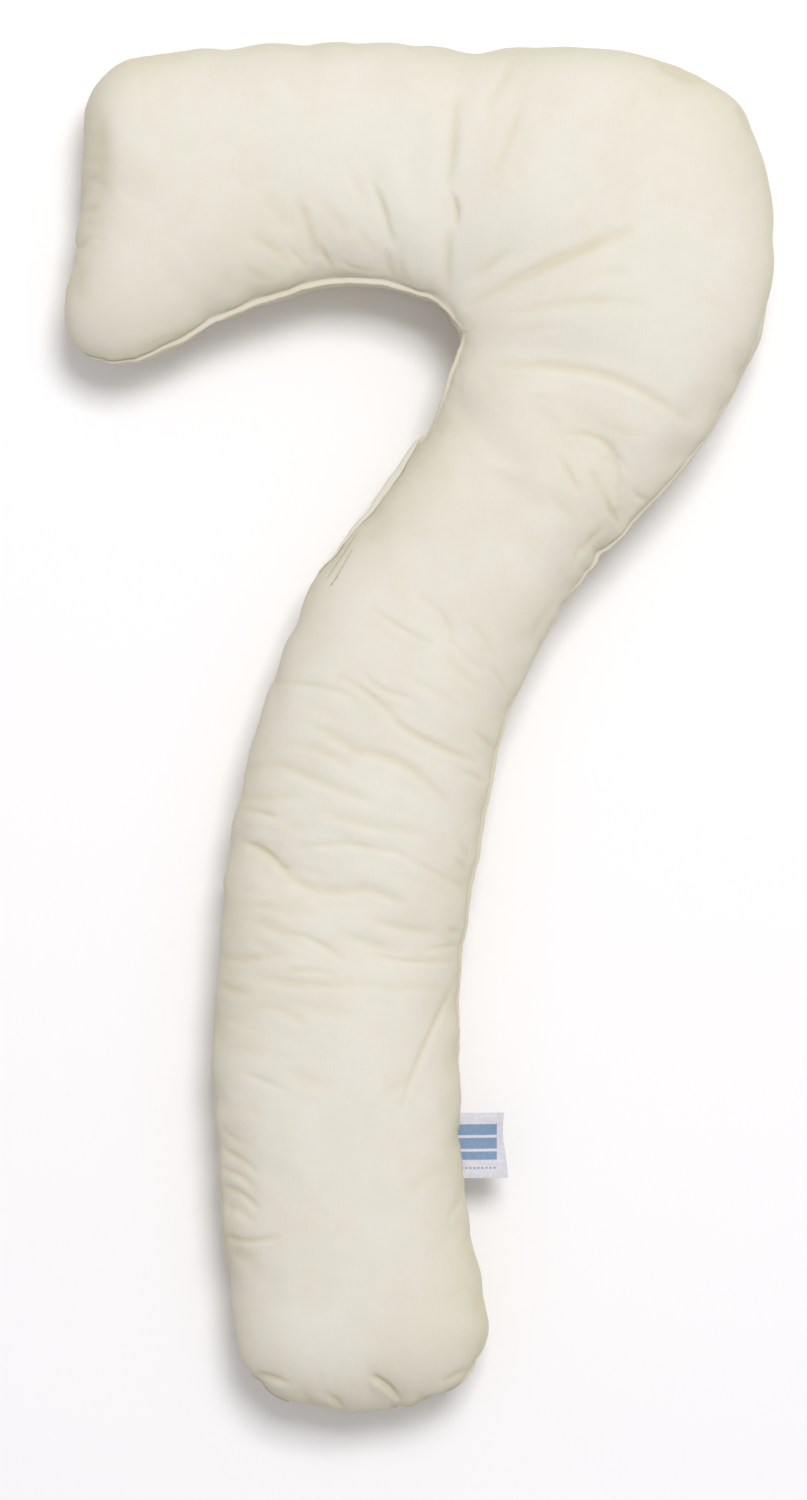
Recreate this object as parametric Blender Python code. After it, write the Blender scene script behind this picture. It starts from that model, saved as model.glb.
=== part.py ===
"""Side sleeper pillow: a filled cotton body in the shape of a hook, lying on its back.

The outline is a ring of ribs. A rib is half of a cross-section: it runs from the top of the
spine, over the side and the seam, to the underside. Ribs along the arm and the stem come in
pairs, inner and outer, and the two round ends are fans of ribs about one centre.
Table values are millimetres and degrees. +X is right, +Y is up the pillow, +Z is up.
"""
import math
from collections import namedtuple

import bmesh
import bpy
import numpy as np

MM = 0.001

# Filled body
SEAM_SHARE = 0.46        # height of the side's widest line, as a share of the crown
ROUNDNESS = 2.5          # exponent of the cross-section, 2 would be an ellipse
SINK = 10.0              # how far the weight flattens the underside
STATIONS = 108           # cross-sections between the two round ends
ARM_RIBS = 26            # ribs round the end of the arm
FOOT_RIBS = 24           # ribs round the foot
CROWN_EDGE = 0.84        # share of the half width where the crown turns into the side
CROWN_STEPS = 8
SIDE_STEPS = 3
UNDER_STEPS = 3
FINE_STEPS = 40          # samples a table row is cut into to measure distances along it
MIDDLE_SHARE = 0.4       # how much the spine counts, beside the longer side, in that distance
END_NEIGHBOUR = 4        # the section whose ribs steer the curve round an end

# Perimeter seam
SEAM_DEPTH = 4.0         # how deep the stitched line is drawn in
SEAM_HALF_ANGLE = 4.0    # half of the drawn-in line's width, as an angle of the cross-section
PUCKER_DEPTH = 2.2
PUCKER_PITCH = 66.0
PUCKER_SWELL = 0.35      # how much the puckers' depth varies along the seam
PUCKER_SWELL_PITCH = 290.0
PUCKER_DRIFT = 0.9       # how far, in radians, they stray from an even pitch
PUCKER_DRIFT_PITCH = 244.0
PUCKER_REACH = 24.0      # angle over which the puckers fade out from the seam

# Uneven filling
LUMP_HEIGHT = 1.6
LUMP_PITCH_X = 170.0
LUMP_PITCH_Y = 230.0
LUMP_START = 0.8         # where the waves begin, in radians
CROSS_LUMP_START = 2.1
CROSS_LUMP_SHARE = 0.7

# Flap over the filling slit, placed by rows of the section table
FLAP_FIRST_ROW = 15.1
FLAP_LAST_ROW = 17.8
FLAP_LOW_ANGLE = 5.0     # how far it reaches below the seam
FLAP_HIGH_ANGLE = 16.0   # how far it reaches above the seam at its middle
FLAP_STEPS = 5
FLAP_END_INSET = 0.6     # how far before its first rib the lens would close, in ribs
FLAP_THICKNESS = 1.5
FLAP_GAP = 0.5
FLAP_LIFT = 0.7          # extra gap under its free edge

# Woven side label
LABEL_TOP_Y = -423.0
LABEL_LENGTH = 71.5
LABEL_OUT = 52.0
LABEL_THICKNESS = 1.0
LABEL_DROOP = 7.0
LABEL_CURL = 1.2
LABEL_SEAT_GAP = 0.7
LABEL_ROWS = 8
LABEL_COLUMNS = 6

Section = namedtuple("Section", "inner_x inner_y outer_x outer_y height inner_roll outer_roll")
RimPoint = namedtuple("RimPoint", "x y roll")
Fold = namedtuple("Fold", "start_x start_y middle_x middle_y end_x end_y half_width depth")
Rib = namedtuple("Rib", "centre_x centre_y rim_x rim_y height roll along row")

# From the end of the arm, round the head, down the stem. A positive roll turns the seam up
# over the edge, where it shows from above, and a negative one hides it.
SECTIONS = [
    Section(-271, 410, -279, 737, 150, 15, -8),
    Section(-224, 436, -213, 744, 151, 17, -8),
    Section(-172, 460, -142, 749, 152, 18, -8),
    Section(-118, 477, -71, 749, 152, 18, -8),
    Section(-63, 481, -5, 746, 154, 18, -8),
    Section(-17, 474, 61, 739, 158, 17, -8),
    Section(14, 465, 137, 744, 164, 17, -8),
    Section(30, 454, 225, 738, 170, 17, -8),
    Section(38, 440, 296, 716, 175, 17, -6),
    Section(42, 430, 346, 681, 178, 17, -4),
    Section(43, 425, 374, 626, 179, 17, -3),
    Section(44, 421, 388, 569, 180, 17, -2),
    Section(42, 411, 387, 484, 178, 17, 4),
    Section(38, 396, 366, 402, 174, 17, 14),
    Section(29, 365, 323, 323, 170, 16, 17),
    Section(14, 330, 266, 251, 167, 12, 17),
    Section(-21, 284, 207, 193, 165, 8, 16),
    Section(-71, 218, 160, 132, 164, 6, 15),
    Section(-120, 146, 122, 58, 163, 4, 14),
    Section(-157, 57, 93, -13, 162, 2, 14),
    Section(-187, -34, 73, -97, 160, 0, 13),
    Section(-206, -129, 58, -187, 158, 0, 12),
    Section(-217, -233, 47, -271, 156, 0, 10),
    Section(-225, -342, 46, -370, 155, 2, 6),
    Section(-225, -441, 44, -457, 154, 10, 3),
    Section(-218, -534, 56, -542, 152, 10, 6),
    Section(-203, -622, 74, -625, 150, 2, 10),
]

# Round the end of the arm, from its upper corner to its lower one
ARM_RIM = [
    RimPoint(-330, 721, -8),
    RimPoint(-361, 687, -8),
    RimPoint(-368, 632, -6),
    RimPoint(-372, 566, -6),
    RimPoint(-380, 503, -4),
    RimPoint(-388, 450, 0),
    RimPoint(-372, 411, 8),
    RimPoint(-330, 394, 14),
]

# Round the foot, from its right side to its left one
FOOT_RIM = [
    RimPoint(78, -663, 10),
    RimPoint(58, -709, 14),
    RimPoint(8, -738, 14),
    RimPoint(-63, -750, 2),
    RimPoint(-129, -741, 10),
    RimPoint(-181, -710, 10),
    RimPoint(-200, -665, 4),
]

# Main folds of the top panel, each a soft trough along a curve through three points
FOLDS = [
    # From the top edge down into the notch
    Fold(39, 728, 34, 600, 30, 462, 15, 5.5),
    Fold(110, 738, 93, 664, 77, 590, 17, 4.0),
    # Radiating from the notch
    Fold(40, 452, 82, 497, 134, 524, 14, 5.0),
    Fold(48, 447, 132, 494, 220, 552, 15, 5.5),
    Fold(70, 398, 192, 392, 286, 336, 17, 6.0),
    # Under side of the arm
    Fold(-60, 610, -36, 548, -40, 486, 15, 5.0),
    Fold(-136, 572, -120, 530, -107, 490, 13, 4.0),
    Fold(-186, 540, -157, 524, -131, 506, 12, 3.0),
    # End of the arm
    Fold(-361, 680, -356, 600, -362, 520, 20, 6.0),
    # Right-hand pleat where the head runs into the stem
    Fold(170, 315, 214, 286, 222, 220, 13, 6.0),
    Fold(154, 140, 142, 116, 127, 94, 13, 3.5),
    # Across the stem
    Fold(-38, 24, 8, -8, 66, -36, 13, 6.0),
    Fold(-131, -8, -43, -30, 28, -71, 13, 5.0),
    Fold(-169, -41, -120, -50, -76, -76, 12, 4.0),
    Fold(-197, -129, -120, -167, -32, -189, 14, 6.0),
    Fold(-109, -134, -68, -131, -27, -130, 11, 3.0),
    Fold(-43, -217, 0, -222, 44, -230, 13, 4.0),
    Fold(-164, -222, -120, -230, -87, -252, 12, 4.0),
    Fold(-87, -233, -30, -248, 22, -260, 12, 3.5),
    Fold(-164, -271, -125, -277, -87, -282, 12, 3.0),
    Fold(-186, -310, -150, -316, -120, -321, 12, 3.0),
    Fold(39, -288, 10, -342, -10, -403, 14, 4.0),
    # Foot
    Fold(-56, -700, -42, -722, -24, -738, 12, 6.0),
]

FOLD_SAMPLES = 10
FOLD_END_SHARE = 0.35    # how deep a fold still is at its ends


def clear_scene():
    for existing in list(bpy.data.objects):
        bpy.data.objects.remove(existing, do_unlink=True)


def make_material(name, colour, roughness):
    material = bpy.data.materials.new(name)
    material.use_nodes = True
    shader = material.node_tree.nodes["Principled BSDF"]
    shader.inputs["Base Color"].default_value = (*colour, 1.0)
    shader.inputs["Roughness"].default_value = roughness
    shader.inputs["Metallic"].default_value = 0.0
    return material


def smooth_row(rows, position):
    """Return the values at a fractional row, on a Catmull-Rom curve through the rows."""
    index = min(int(position), len(rows) - 2)
    t = position - index
    before = rows[max(index - 1, 0)]
    start = rows[index]
    end = rows[index + 1]
    after = rows[min(index + 2, len(rows) - 1)]
    return 0.5 * (
        2.0 * start
        + (end - before) * t
        + (2.0 * before - 5.0 * start + 4.0 * end - after) * t ** 2
        + (3.0 * start - before - 3.0 * end + after) * t ** 3
    )


def even_positions(rows, first, last, count, measure):
    """Return fractional rows from first to last that lie evenly along a measured distance."""
    fine = np.linspace(first, last, FINE_STEPS * int(last - first))
    values = [smooth_row(rows, position) for position in fine]
    steps = [measure(a, b) for a, b in zip(values, values[1:])]
    travelled = np.concatenate([[0.0], np.cumsum(steps)])
    return np.interp(np.linspace(0.0, travelled[-1], count), travelled, fine)


def section_step(a, b):
    """Return how far apart two sections are, mostly at the side that moves further."""
    inner = math.dist(a[0:2], b[0:2])
    outer = math.dist(a[2:4], b[2:4])
    middle = math.dist((a[0:2] + a[2:4]) / 2, (b[0:2] + b[2:4]) / 2)
    return MIDDLE_SHARE * middle + (1 - MIDDLE_SHARE) * max(inner, outer)


def rim_step(a, b):
    return math.dist(a[0:2], b[0:2])


def section_ribs():
    """Return the outer and the inner ribs of the sections, both from the arm to the foot."""
    first = SECTIONS[0]
    last = SECTIONS[-1]
    beyond_arm = first._replace(
        outer_x=ARM_RIM[0].x, outer_y=ARM_RIM[0].y, inner_x=ARM_RIM[-1].x, inner_y=ARM_RIM[-1].y)
    beyond_foot = last._replace(
        outer_x=FOOT_RIM[0].x, outer_y=FOOT_RIM[0].y,
        inner_x=FOOT_RIM[-1].x, inner_y=FOOT_RIM[-1].y)
    rows = np.array([beyond_arm, *SECTIONS, beyond_foot], dtype=float)
    outer_ribs = []
    inner_ribs = []
    for position in even_positions(rows, 1, len(SECTIONS), STATIONS, section_step):
        section = Section(*smooth_row(rows, position))
        centre_x = (section.inner_x + section.outer_x) / 2
        centre_y = (section.inner_y + section.outer_y) / 2
        shared = {"centre_x": centre_x, "centre_y": centre_y, "height": section.height,
                  "along": 0.0, "row": position - 1}
        outer_ribs.append(
            Rib(rim_x=section.outer_x, rim_y=section.outer_y, roll=section.outer_roll, **shared))
        inner_ribs.append(
            Rib(rim_x=section.inner_x, rim_y=section.inner_y, roll=section.inner_roll, **shared))
    return outer_ribs, inner_ribs


def fan_ribs(before, rim, after, count):
    """Return the ribs of a round end, between two pairs of ribs of the sections beside it."""
    rows = np.array(
        [[rib.rim_x, rib.rim_y, rib.roll] for rib in before]
        + [list(point) for point in rim]
        + [[rib.rim_x, rib.rim_y, rib.roll] for rib in after], dtype=float)
    positions = even_positions(rows, 1, len(rows) - 2, count + 2, rim_step)
    pivot = before[1]
    ribs = []
    for position in positions[1:-1]:
        x, y, roll = smooth_row(rows, position)
        ribs.append(pivot._replace(rim_x=x, rim_y=y, roll=roll))
    return ribs


def rib_ring():
    """Return every rib, clockwise round the outline, with its distance along the seam."""
    outer_ribs, inner_ribs = section_ribs()
    foot = fan_ribs([outer_ribs[-END_NEIGHBOUR], outer_ribs[-1]], FOOT_RIM,
                    [inner_ribs[-1], inner_ribs[-END_NEIGHBOUR]], FOOT_RIBS)
    arm = fan_ribs([inner_ribs[END_NEIGHBOUR], inner_ribs[0]], ARM_RIM[::-1],
                   [outer_ribs[0], outer_ribs[END_NEIGHBOUR]], ARM_RIBS)
    ring = outer_ribs + foot + inner_ribs[::-1] + arm
    along = 0.0
    measured = []
    for index, rib in enumerate(ring):
        previous = ring[index - 1]
        if index:
            along += math.dist((rib.rim_x, rib.rim_y), (previous.rim_x, previous.rim_y))
        measured.append(rib._replace(along=along))
    return measured


def rib_angles(roll):
    """Return the angles of a rib's points: 90 is the crown, 0 the widest line, -90 below."""
    edge = math.degrees(math.acos(CROWN_EDGE ** (ROUNDNESS / 2)))
    crown = [math.degrees(math.acos(share ** (ROUNDNESS / 2)))
             for share in np.linspace(0.0, CROWN_EDGE, CROWN_STEPS + 1)]
    under = [-math.degrees(math.acos(share ** (ROUNDNESS / 2)))
             for share in np.linspace(CROWN_EDGE, 0.0, UNDER_STEPS + 1)]
    upper_side = list(np.linspace(edge, roll + SEAM_HALF_ANGLE, SIDE_STEPS + 1))[1:]
    lower_side = list(np.linspace(roll - SEAM_HALF_ANGLE, -edge, SIDE_STEPS + 1))[:-1]
    return crown + upper_side + [roll] + lower_side + under


def lump(x, y):
    """Return how far uneven filling pushes the cloth out."""
    across = math.sin(2 * math.pi * x / LUMP_PITCH_X + LUMP_START)
    along = math.cos(2 * math.pi * y / LUMP_PITCH_Y)
    cross = math.sin(2 * math.pi * (x + y) / (LUMP_PITCH_X + LUMP_PITCH_Y) + CROSS_LUMP_START)
    return LUMP_HEIGHT * (across * along + CROSS_LUMP_SHARE * cross)


def pucker(along):
    """Return how far the stitches draw the side in at a place along the seam."""
    swell = 1 - PUCKER_SWELL + PUCKER_SWELL * math.sin(2 * math.pi * along / PUCKER_SWELL_PITCH)
    drift = PUCKER_DRIFT * math.sin(2 * math.pi * along / PUCKER_DRIFT_PITCH)
    return PUCKER_DEPTH * swell * math.sin(2 * math.pi * along / PUCKER_PITCH + drift)


def fold_curve(fold):
    """Return points along a fold's curve, which passes through its middle point."""
    start = np.array([fold.start_x, fold.start_y], dtype=float)
    middle = np.array([fold.middle_x, fold.middle_y], dtype=float)
    end = np.array([fold.end_x, fold.end_y], dtype=float)
    control = 2 * middle - (start + end) / 2
    points = []
    for t in np.linspace(0.0, 1.0, FOLD_SAMPLES + 1):
        points.append((1 - t) ** 2 * start + 2 * t * (1 - t) * control + t ** 2 * end)
    return np.array(points)


def fold_trough(x, y, curves):
    """Return how deep all the folds together press the top panel in."""
    place = np.array([x, y])
    total = 0.0
    for fold, points in curves:
        starts = points[:-1]
        runs = points[1:] - starts
        shares = np.clip(np.sum((place - starts) * runs, axis=1) / np.sum(runs ** 2, axis=1), 0, 1)
        distances = np.linalg.norm(starts + runs * shares[:, None] - place, axis=1)
        nearest = int(np.argmin(distances))
        t = (nearest + shares[nearest]) / FOLD_SAMPLES
        taper = FOLD_END_SHARE + (1 - FOLD_END_SHARE) * math.sin(math.pi * t)
        total += fold.depth * taper * math.exp(-(distances[nearest] / fold.half_width) ** 2)
    return total


def rib_point(rib, angle, curves, drawn_in=0.0, lift=0.0):
    """Return a point on the pillow's surface, and move it in or out along the surface normal."""
    radians = math.radians(angle)
    across = abs(math.cos(radians)) ** (2 / ROUNDNESS)
    rise = abs(math.sin(radians)) ** (2 / ROUNDNESS)
    seam_height = SEAM_SHARE * rib.height
    run_x = rib.rim_x - rib.centre_x
    run_y = rib.rim_y - rib.centre_y
    half_width = math.hypot(run_x, run_y)
    x = rib.centre_x + run_x * across
    y = rib.centre_y + run_y * across
    reach = rib.height - seam_height if angle > 0 else seam_height + SINK
    z = seam_height + math.copysign(reach * rise, angle)
    normal_across = across ** (ROUNDNESS - 1) / half_width
    normal_up = math.copysign(rise ** (ROUNDNESS - 1) / reach, angle)
    length = math.hypot(normal_across, normal_up)
    normal_across /= length
    normal_up /= length
    near_seam = math.exp(-((angle - rib.roll) / PUCKER_REACH) ** 2)
    move = lift - drawn_in - pucker(rib.along) * near_seam + lump(x, y)
    if angle > rib.roll:
        move -= fold_trough(x, y, curves) * min(1.0, (angle - rib.roll) / PUCKER_REACH)
    x += run_x / half_width * normal_across * move
    y += run_y / half_width * normal_across * move
    return x, y, max(z + normal_up * move, 0.0)


def mesh_object(name, points, faces, material, shift):
    """Return an object in metres, its faces pointing out, moved so that the pillow is centred."""
    shape = bmesh.new()
    vertices = []
    for x, y, z in points:
        vertices.append(shape.verts.new(((x - shift[0]) * MM, (y - shift[1]) * MM, z * MM)))
    for face in faces:
        shape.faces.new([vertices[index] for index in face])
    bmesh.ops.recalc_face_normals(shape, faces=shape.faces)
    mesh = bpy.data.meshes.new(name)
    shape.to_mesh(mesh)
    shape.free()
    mesh.materials.append(material)
    mesh.shade_smooth()
    made = bpy.data.objects.new(name, mesh)
    bpy.context.scene.collection.objects.link(made)
    return made


def cushion_mesh(ring, curves):
    """Return the points and faces of the filled body."""
    points = []
    columns = []
    centres = {}
    for rib in ring:
        angles = rib_angles(rib.roll)
        column = []
        for step, angle in enumerate(angles):
            shared = None
            if step in (0, len(angles) - 1):
                shared = (rib.centre_x, rib.centre_y, step)
            if shared in centres:
                column.append(centres[shared])
                continue
            drawn_in = SEAM_DEPTH if angle == rib.roll else 0.0
            points.append(rib_point(rib, angle, curves, drawn_in))
            column.append(len(points) - 1)
            if shared:
                centres[shared] = len(points) - 1
        columns.append(column)
    faces = []
    for index, column in enumerate(columns):
        following = columns[(index + 1) % len(columns)]
        for step in range(len(column) - 1):
            corners = [column[step], column[step + 1], following[step + 1], following[step]]
            faces.append(list(dict.fromkeys(corners)))
    return points, faces


def strip_mesh(rows):
    """Return the points and faces of a thin closed strip from rows of lower and upper points."""
    points = []
    rings = []
    for lower, upper in rows:
        ring = []
        for point in lower + upper[::-1]:
            points.append(point)
            ring.append(len(points) - 1)
        rings.append(ring)
    faces = [rings[0], rings[-1]]
    for ring, following in zip(rings, rings[1:]):
        for step in range(len(ring)):
            onward = (step + 1) % len(ring)
            faces.append([ring[step], ring[onward], following[onward], following[step]])
    return points, faces


def flap_rows(ring, curves):
    """Return the flap's rows: a lens that lies over the seam, its upper edge standing free."""
    ribs = []
    for rib in ring:
        inner_side = rib.rim_x < rib.centre_x
        if inner_side and FLAP_FIRST_ROW <= rib.row <= FLAP_LAST_ROW:
            ribs.append(rib)
    rows = []
    for index, rib in enumerate(ribs):
        share = (index + FLAP_END_INSET) / (len(ribs) - 1 + 2 * FLAP_END_INSET)
        lens = math.sin(math.pi * share)
        low = rib.roll - FLAP_LOW_ANGLE * lens
        high = rib.roll + SEAM_HALF_ANGLE + (FLAP_HIGH_ANGLE - SEAM_HALF_ANGLE) * lens
        lower = []
        upper = []
        for step in range(FLAP_STEPS + 1):
            share = step / FLAP_STEPS
            angle = low + (high - low) * share
            gap = FLAP_GAP + FLAP_LIFT * lens * share ** 2
            lower.append(rib_point(rib, angle, curves, lift=gap))
            upper.append(rib_point(rib, angle, curves, lift=gap + FLAP_THICKNESS))
        rows.append((lower, upper))
    return rows


def label_rows(ring, curves):
    """Return the label's rows: it leaves the seam of the stem's right side, level, and droops."""
    seam = []
    for rib in ring:
        if rib.rim_x > rib.centre_x:
            seam.append(rib_point(rib, rib.roll, curves, SEAM_DEPTH))
    seam.sort(key=lambda point: point[1])
    seam_y = [point[1] for point in seam]
    rows = []
    for row in range(LABEL_ROWS + 1):
        along = row / LABEL_ROWS
        y = LABEL_TOP_Y - LABEL_LENGTH * along
        root_x = np.interp(y, seam_y, [point[0] for point in seam]) + LABEL_SEAT_GAP
        root_z = np.interp(y, seam_y, [point[2] for point in seam])
        lower = []
        upper = []
        for column in range(LABEL_COLUMNS + 1):
            out = column / LABEL_COLUMNS
            x = root_x + LABEL_OUT * out
            curl = LABEL_CURL * out ** 2 * math.cos(2 * math.pi * along)
            z = root_z - LABEL_DROOP * out ** 2 + curl
            lower.append((x, y, z - LABEL_THICKNESS / 2))
            upper.append((x, y, z + LABEL_THICKNESS / 2))
        rows.append((lower, upper))
    return rows


def main():
    clear_scene()
    ring = rib_ring()
    curves = [(fold, fold_curve(fold)) for fold in FOLDS]
    points, faces = cushion_mesh(ring, curves)
    spread = np.array(points)
    shift = (spread.min(axis=0) + spread.max(axis=0)) / 2
    mesh_object("cushion", points, faces,
                make_material("cream_cotton", (0.80, 0.77, 0.68), 0.92), shift)
    mesh_object("closure_flap", *strip_mesh(flap_rows(ring, curves)),
                make_material("cream_cotton_flap", (0.78, 0.75, 0.66), 0.92), shift)
    mesh_object("side_label", *strip_mesh(label_rows(ring, curves)),
                make_material("woven_label", (0.20, 0.31, 0.47), 0.6), shift)


main()
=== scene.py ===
import math
import time

import bmesh
import bpy
import numpy as np
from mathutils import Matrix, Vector, kdtree, noise
from mathutils.bvhtree import BVHTree


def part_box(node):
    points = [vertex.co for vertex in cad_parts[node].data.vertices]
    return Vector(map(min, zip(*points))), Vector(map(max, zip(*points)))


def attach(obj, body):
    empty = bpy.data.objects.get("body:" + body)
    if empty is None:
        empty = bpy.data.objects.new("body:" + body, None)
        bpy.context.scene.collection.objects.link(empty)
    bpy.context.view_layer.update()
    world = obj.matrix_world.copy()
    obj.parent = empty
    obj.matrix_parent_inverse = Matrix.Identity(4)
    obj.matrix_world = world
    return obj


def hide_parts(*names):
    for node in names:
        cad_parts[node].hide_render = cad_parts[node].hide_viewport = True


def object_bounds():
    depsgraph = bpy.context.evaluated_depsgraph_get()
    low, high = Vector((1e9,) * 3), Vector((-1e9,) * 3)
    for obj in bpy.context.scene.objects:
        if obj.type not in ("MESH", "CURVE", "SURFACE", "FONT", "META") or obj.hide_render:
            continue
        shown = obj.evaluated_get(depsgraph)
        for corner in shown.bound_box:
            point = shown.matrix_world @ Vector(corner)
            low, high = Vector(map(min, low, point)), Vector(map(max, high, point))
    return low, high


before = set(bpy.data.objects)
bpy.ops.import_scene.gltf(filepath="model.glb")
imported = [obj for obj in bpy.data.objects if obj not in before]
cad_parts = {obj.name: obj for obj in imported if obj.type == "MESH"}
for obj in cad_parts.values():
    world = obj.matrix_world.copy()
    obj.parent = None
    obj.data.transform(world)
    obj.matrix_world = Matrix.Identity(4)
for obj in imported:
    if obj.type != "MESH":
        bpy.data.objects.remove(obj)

# Side sleeper pillow lying on its back, seen from straight above.
# Units are metres. +X is right, +Y is up the pillow, +Z is up.

startTime = time.time()
cadLow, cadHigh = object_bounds()  # the box around the CAD parts; the box that the looks have to stay in
mm = 0.001


def say(text):
    print(f"[{time.time() - startTime:5.1f} s] {text}")


# Photo and camera

view = {
    "imageWidth": 807,  # pixels
    "imageHeight": 1500,
    "metresPerPixel": 0.001095,  # at the height of the pillow's seam
    "middleX": 419.5,  # pixel that lies over the frame's origin
    "middleY": 727.25,
    "cameraHeight": 5.0,  # above the seam
    "seamHeight": 0.075,
    "sensor": 0.036,
}


def overPhoto(pixelX, pixelY, height):
    # a pixel's place over the floor, for a point at this height, as the camera above sees it
    axisX = (view["imageWidth"] / 2 - view["middleX"]) * view["metresPerPixel"]
    axisY = (view["middleY"] - view["imageHeight"] / 2) * view["metresPerPixel"]
    closer = (view["cameraHeight"] + view["seamHeight"] - height) / view["cameraHeight"]
    x = (pixelX - view["middleX"]) * view["metresPerPixel"]
    y = (view["middleY"] - pixelY) * view["metresPerPixel"]
    return axisX + (x - axisX) * closer, axisY + (y - axisY) * closer


def makeCamera():
    data = bpy.data.cameras.new("camera")
    made = bpy.data.objects.new("camera", data)
    bpy.context.scene.collection.objects.link(made)
    x, y = overPhoto(view["imageWidth"] / 2, view["imageHeight"] / 2, view["seamHeight"])
    made.location = (x, y, view["cameraHeight"] + view["seamHeight"])
    longSide = view["imageHeight"] * view["metresPerPixel"]
    data.sensor_width = view["sensor"] * 1000
    data.lens = view["sensor"] * 1000 * view["cameraHeight"] / longSide
    data.clip_end = 50
    bpy.context.scene.camera = made


makeCamera()
say("camera placed")


# Helpers for every piece

def deselectAll():
    for thing in list(bpy.context.selected_objects):
        thing.select_set(False)


def pick(thing):
    deselectAll()
    thing.select_set(True)
    bpy.context.view_layer.objects.active = thing


def weld(thing, operator, **settings):
    # merges points that lie on each other, then runs one more mesh operator
    pick(thing)
    bpy.ops.object.mode_set(mode="EDIT")
    bpy.ops.mesh.select_all(action="SELECT")
    bpy.ops.mesh.remove_doubles(threshold=0.01 * mm)
    operator(**settings)
    bpy.ops.object.mode_set(mode="OBJECT")
    return thing


def copyNode(nodeName, pieceName):
    # a copy of a CAD node with its loose triangles merged, as quads where they pair up
    source = bpy.data.objects[nodeName]
    made = bpy.data.objects.new(pieceName, source.data.copy())
    made.data.materials.clear()
    bpy.context.scene.collection.objects.link(made)
    return weld(made, bpy.ops.mesh.tris_convert_to_quads, face_threshold=math.pi,
                shape_threshold=math.pi)


def modify(thing, kind, **settings):
    # adds a modifier with these settings and applies it
    pick(thing)
    modifier = thing.modifiers.new(kind, kind)
    for name, value in settings.items():
        setattr(modifier, name, value)
    bpy.ops.object.modifier_apply(modifier=modifier.name)


def newGrid(name, steps, columns):
    # a flat grid, with each point's share of the way along it and across it
    deselectAll()
    bpy.ops.mesh.primitive_grid_add(x_subdivisions=steps, y_subdivisions=columns, size=1,
                                    location=(0, 0, 0))
    made = bpy.context.active_object
    made.name = name
    places = readPoints(made)
    return made, places[:, 0] + 0.5, places[:, 1] + 0.5


def named(columns, rows):
    # the rows of a table as dictionaries
    return [dict(zip(columns, row)) for row in rows]


def readRows(parts, name, width=3, kind=float):
    # a row of numbers for each vertex, edge, face or corner
    flat = np.empty(len(parts) * width, dtype=kind)
    parts.foreach_get(name, flat)
    return flat.reshape(len(parts), width)


def readPoints(thing):
    return readRows(thing.data.vertices, "co")


def readNormals(thing):
    return readRows(thing.data.vertices, "normal")


def writePoints(thing, points):
    thing.data.vertices.foreach_set("co", points.astype(np.float32).ravel())
    thing.data.update()


def readEdges(thing):
    return readRows(thing.data.edges, "vertices", 2, np.int64)


def blur(values, edges, rounds):
    # spreads values over the mesh, each round about one edge further
    first, second = edges[:, 0], edges[:, 1]
    count = len(values)
    neighbours = np.bincount(first, minlength=count) + np.bincount(second, minlength=count)
    result = values.copy()
    for step in range(rounds):
        total = np.zeros_like(result)
        np.add.at(total, first, result[second])
        np.add.at(total, second, result[first])
        share = total / (neighbours[:, None] if result.ndim == 2 else neighbours)
        result = 0.5 * result + 0.5 * share
    return result


def writeAttribute(thing, name, values):
    layer = thing.data.attributes.new(name, "FLOAT", "POINT")
    layer.data.foreach_set("value", values.astype(np.float32))


# Cushion: the CAD solid, ironed smooth, then wrinkled by its filling and its stitching

cushion = {
    "seamGroove": 0.0014,  # a point this far inside its neighbours is on the seam
    "ironRounds": 14,
    "ironed": 0.85,  # share of the solid's own folds that is smoothed away
    "ironBetween": (0.010, 0.040),  # from none to all of it, in distance from the seam
    "frames": 20,
    "pressure": 4.0,
    "panelSpare": 0.012,  # extra cloth in the panels, which wrinkles
    "seamShrink": 0.05,  # how far the stitching draws the seam together
    "largestMove": 0.008,
    "broadShare": 0.2,  # share kept of the broad swelling
    "wrinkleShare": 0.22,  # share kept of the wrinkles on the crown
    "seamWrinkleShare": 0.40,  # and beside the seam
    "besideSeam": (0.012, 0.060),
    "blurRounds": 60,
    "sideReach": 0.045,  # the side, as far as this from the seam, makes the outline
    "sideFade": 0.070,
    "outlineSteps": 8,
    "fineAbove": 0.058,  # from this height up the mesh is cut finer
    "smoothAbove": 0.030,
    "smoothRounds": 4,
    "shadeRounds": 30,
    "weaveHeight": 0.170,  # the top panel's weave is laid out flat at this height
    "fill": 0.75,
}

pillow = copyNode("cushion", "pillow")


def markSeam(thing):
    # the seam is the ring of points that is drawn in between the point above and the one below
    shape = bmesh.new()
    shape.from_mesh(thing.data)
    shape.normal_update()
    ring = set()
    for vertex in shape.verts:
        above, below = None, None
        up, down = 0.5, -0.5
        for edge in vertex.link_edges:
            run = edge.other_vert(vertex).co - vertex.co
            slope = run.z / run.length
            if slope > up:
                up, above = slope, edge.other_vert(vertex)
            if slope < down:
                down, below = slope, edge.other_vert(vertex)
        if above and below:
            depth = ((above.co + below.co) / 2 - vertex.co).dot(vertex.normal)
            if depth > cushion["seamGroove"]:
                ring.add(vertex)
    for edge in shape.edges:
        edge.seam = edge.verts[0] in ring and edge.verts[1] in ring
    shape.to_mesh(thing.data)
    shape.free()
    return len(ring)


say(f"seam found, {markSeam(pillow)} points")
modify(pillow, "SUBSURF", levels=1, render_levels=1)


def smoothStep(low, high, values):
    share = np.clip((values - low) / (high - low), 0, 1)
    return share * share * (3 - 2 * share)


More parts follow.
